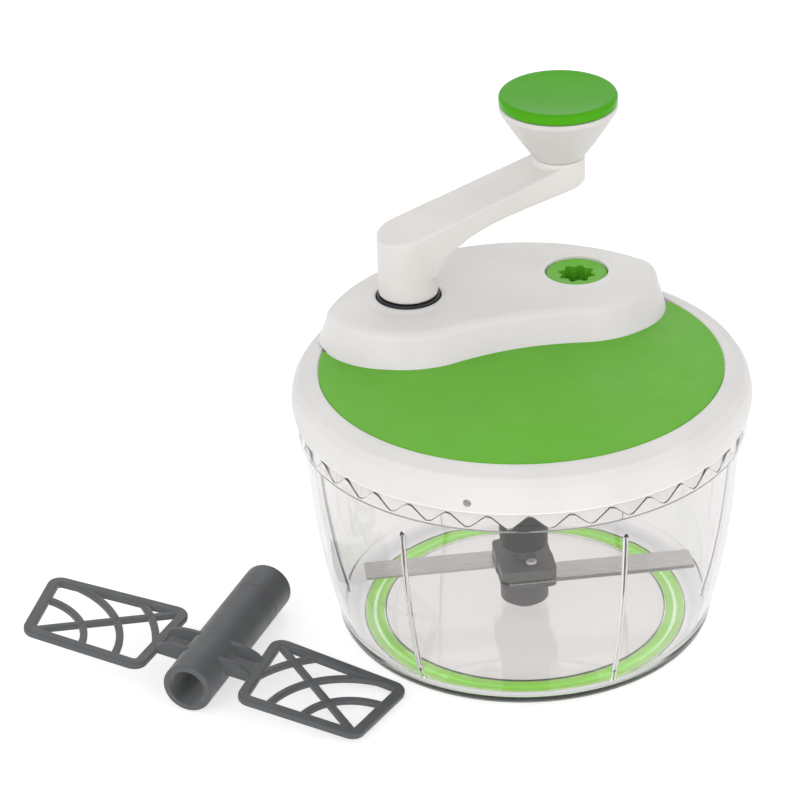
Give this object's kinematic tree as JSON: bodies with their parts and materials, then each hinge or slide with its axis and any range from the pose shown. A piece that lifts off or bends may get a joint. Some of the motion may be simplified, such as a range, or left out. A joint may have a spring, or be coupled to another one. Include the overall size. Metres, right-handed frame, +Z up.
{
  "type": "food chopper",
  "caption": "Hand cranked food chopper: clear bowl, geared lid with fast and slow drive sockets, crank with a turning knob, rotary cutter and a spare whisk paddle.",
  "frame": {"origin": "on the bowl's axis, in the plane of the flat bottom that stands on the worktop", "axes": "+Z up along the bowl's axis, +X to the right of the pictured front, +Y to the back"},
  "size_m": [0.3029, 0.1965, 0.2099],
  "materials": {
    "clear_plastic": "clear, polished",
    "white_plastic": "satin white",
    "green_plastic": "satin green",
    "green_rubber": "matt green",
    "dark_plastic": "satin dark grey",
    "grey_plastic": "satin grey",
    "paddle_plastic": "satin grey",
    "natural_plastic": "natural nylon",
    "blade_steel": "brushed steel",
    "steel": "bright steel"
  },
  "bodies": {
    "base": {"bowl": "clear_plastic", "foot_ring_outer": "green_rubber", "foot_ring_inner": "green_rubber", "bowl_spindle": "steel"},
    "cutter": {"blade_hub": "grey_plastic", "blade_clamp": "grey_plastic", "blade_front": "blade_steel", "blade_rear": "blade_steel", "blade_screw_front": "steel", "blade_screw_rear": "steel", "blade_tube": "dark_plastic"},
    "lid": {"lid_shell": "white_plastic", "lid_insert": "green_plastic", "gear_housing": "white_plastic", "lid_base_plate": "white_plastic", "base_plate_screw_1": "steel", "base_plate_screw_2": "steel", "base_plate_screw_3": "steel", "base_plate_screw_4": "steel", "housing_screw_1": "steel", "housing_screw_2": "steel", "housing_screw_3": "steel", "fast_axle": "steel", "slow_axle": "steel", "compound_axle": "steel", "output_bush": "natural_plastic"},
    "fast_drive": {"fast_gear": "natural_plastic", "fast_socket": "dark_plastic"},
    "slow_drive": {"slow_gear": "natural_plastic", "slow_socket": "green_plastic"},
    "compound": {"compound_gear": "natural_plastic"},
    "output": {"output_pinion": "natural_plastic"},
    "crank": {"crank_arm": "white_plastic", "crank_spline": "grey_plastic", "spline_screw": "steel", "knob_pin": "steel"},
    "knob": {"knob_body": "white_plastic", "knob_cap": "green_plastic"},
    "paddle": {"paddle_tube": "paddle_plastic", "paddle_frame_right": "paddle_plastic", "paddle_frame_left": "paddle_plastic", "paddle_coupler": "paddle_plastic"}
  },
  "joints": [
    {"name": "lid_lift", "type": "slide", "parent": "base", "child": "lid", "axis": [0, 0, 1], "range_m": [0, 0.12]},
    {"name": "crank_spin", "type": "hinge", "parent": "lid", "child": "fast_drive", "pos_m": [-0.0465, 0.0307, 0.12], "axis": [0, 0, 1], "continuous": true},
    {"name": "crank_pull", "type": "slide", "parent": "fast_drive", "child": "crank", "axis": [0, 0, 1], "range_m": [0, 0.03]},
    {"name": "knob_spin", "type": "hinge", "parent": "crank", "child": "knob", "pos_m": [0.01715, 0.06745, 0.19], "axis": [0, 0, 1], "continuous": true},
    {"name": "compound_spin", "type": "hinge", "parent": "lid", "child": "compound", "pos_m": [-0.0171, 0.0282, 0.11], "axis": [0, 0, 1], "continuous": true},
    {"name": "slow_spin", "type": "hinge", "parent": "lid", "child": "slow_drive", "pos_m": [0.024, 0.0509, 0.11], "axis": [0, 0, 1], "continuous": true},
    {"name": "output_spin", "type": "hinge", "parent": "lid", "child": "output", "pos_m": [0, 0, 0.1], "axis": [0, 0, 1], "continuous": true},
    {"name": "cutter_spin", "type": "hinge", "parent": "base", "child": "cutter", "pos_m": [0, 0, 0.02], "axis": [0, 0, 1], "continuous": true},
    {"name": "paddle_lift", "type": "slide", "parent": "base", "child": "paddle", "axis": [-0.4373, -0.2424, 0.866], "range_m": [0, 0.08]}
  ],
  "couplings": [
    {"joint": "compound_spin", "follows": "crank_spin", "ratio": -2.1053},
    {"joint": "slow_spin", "follows": "crank_spin", "ratio": 2.3923},
    {"joint": "output_spin", "follows": "crank_spin", "ratio": 6.5789},
    {"joint": "cutter_spin", "follows": "crank_spin", "ratio": 6.5789}
  ]
}
